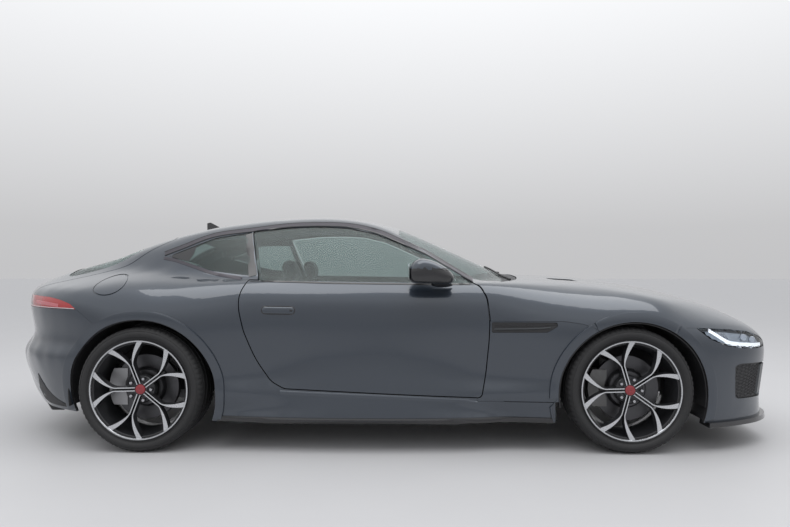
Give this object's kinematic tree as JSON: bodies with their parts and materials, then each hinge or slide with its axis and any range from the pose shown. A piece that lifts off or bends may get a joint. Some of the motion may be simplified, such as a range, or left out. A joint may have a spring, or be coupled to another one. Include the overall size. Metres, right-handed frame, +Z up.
{
  "type": "coupe car",
  "caption": "Low two-door fastback coupe car with opening doors, bonnet, tailgate and fuel flap, steered front wheels and turning road wheels.",
  "frame": {"origin": "on the ground at the middle of the wheelbase, which is the bottom centre of the bounding box", "axes": "+X forward, +Y to the left, +Z up"},
  "size_m": [4.4801, 2.035, 1.3108],
  "materials": {
    "paint": "metallic grey",
    "gloss_black": "gloss black",
    "trim_black": "matte black",
    "glass": "green tinted",
    "lamp": "clear lens",
    "red_lamp": "red lens",
    "tyre": "rubber",
    "alloy": "machined and painted",
    "steel": "plain steel",
    "iron": "cast",
    "leather": "black leather",
    "cabin": "dark grained"
  },
  "bodies": {
    "root": {"antenna_fin": "gloss_black", "body_side_left": "paint", "body_side_right": "paint", "chassis_rails": "steel", "cowl_panel": "trim_black", "dashboard": "cabin", "engine_block": "iron", "exhaust": "steel", "floor_tub": "cabin", "front_bumper": "paint", "front_splitter": "gloss_black", "front_subframe": "steel", "grilles": "trim_black", "headlamps": "lamp", "lower_wings": "paint", "quarter_glass": "glass", "rear_axle": "steel", "rear_bumper": "paint", "rear_diffuser": "trim_black", "roof_panel": "paint", "seats": "leather", "tail_lamps": "red_lamp", "wheel_liners": "trim_black", "windscreen": "glass"},
    "bonnet_body": {"bonnet": "paint"},
    "door_left_body": {"door_glass_left": "glass", "door_left": "paint", "mirror_left": "paint"},
    "door_right_body": {"door_glass_right": "glass", "door_right": "paint", "mirror_right": "paint"},
    "flap_body": {"fuel_flap": "paint"},
    "steer_left": {"knuckle_front_left": "iron"},
    "steer_right": {"knuckle_front_right": "iron"},
    "tailgate_body": {"rear_glass": "glass", "tailgate": "paint"},
    "wheel_front_left": {"rim_front_left": "alloy", "tyre_front_left": "tyre"},
    "wheel_front_right": {"rim_front_right": "alloy", "tyre_front_right": "tyre"},
    "wheel_rear_left": {"rim_rear_left": "alloy", "tyre_rear_left": "tyre"},
    "wheel_rear_right": {"rim_rear_right": "alloy", "tyre_rear_right": "tyre"},
    "steering_wheel_body": {"steering_wheel": "leather"}
  },
  "joints": [
    {"name": "steer_right_turn", "type": "hinge", "parent": "root", "child": "steer_right", "pos_m": [1.311, -0.7605, 0.334], "axis": [0, 0, 1], "range_deg": [-32, 32]},
    {"name": "wheel_front_right_spin", "type": "hinge", "parent": "steer_right", "child": "wheel_front_right", "pos_m": [1.311, -0.7985, 0.334], "axis": [0, 1, 0], "continuous": true},
    {"name": "wheel_rear_right_spin", "type": "hinge", "parent": "root", "child": "wheel_rear_right", "pos_m": [-1.311, -0.8135, 0.334], "axis": [0, 1, 0], "continuous": true},
    {"name": "door_right_hinge", "type": "hinge", "parent": "root", "child": "door_right_body", "pos_m": [0.5632, -0.8905, 0.6], "axis": [0, 0, 1], "range_deg": [0, 62]},
    {"name": "steer_left_turn", "type": "hinge", "parent": "root", "child": "steer_left", "pos_m": [1.311, 0.7605, 0.334], "axis": [0, 0, 1], "range_deg": [-32, 32]},
    {"name": "wheel_front_left_spin", "type": "hinge", "parent": "steer_left", "child": "wheel_front_left", "pos_m": [1.311, 0.7985, 0.334], "axis": [0, 1, 0], "continuous": true},
    {"name": "wheel_rear_left_spin", "type": "hinge", "parent": "root", "child": "wheel_rear_left", "pos_m": [-1.311, 0.8135, 0.334], "axis": [0, 1, 0], "continuous": true},
    {"name": "door_left_hinge", "type": "hinge", "parent": "root", "child": "door_left_body", "pos_m": [0.5632, 0.8905, 0.6], "axis": [0, 0, -1], "range_deg": [0, 62]},
    {"name": "bonnet_hinge", "type": "hinge", "parent": "root", "child": "bonnet_body", "pos_m": [2.236, 0, 0.59], "axis": [0, 1, 0], "range_deg": [0, 45]},
    {"name": "tailgate_hinge", "type": "hinge", "parent": "root", "child": "tailgate_body", "pos_m": [-1.2872, 0, 1.236], "axis": [0, 1, 0], "range_deg": [0, 70]},
    {"name": "flap_hinge", "type": "hinge", "parent": "root", "child": "flap_body", "pos_m": [-1.443, -0.834, 0.9], "axis": [0, 0.8713, 0.4907], "range_deg": [0, 85]},
    {"name": "steering_wheel_turn", "type": "hinge", "parent": "root", "child": "steering_wheel_body", "pos_m": [0.105, -0.37, 0.8], "axis": [-0.9272, 0, 0.3746], "range_deg": [-450, 450]}
  ],
  "couplings": [
    {"joint": "steer_left_turn", "follows": "steer_right_turn", "ratio": 1},
    {"joint": "steering_wheel_turn", "follows": "steer_right_turn", "ratio": 14}
  ]
}
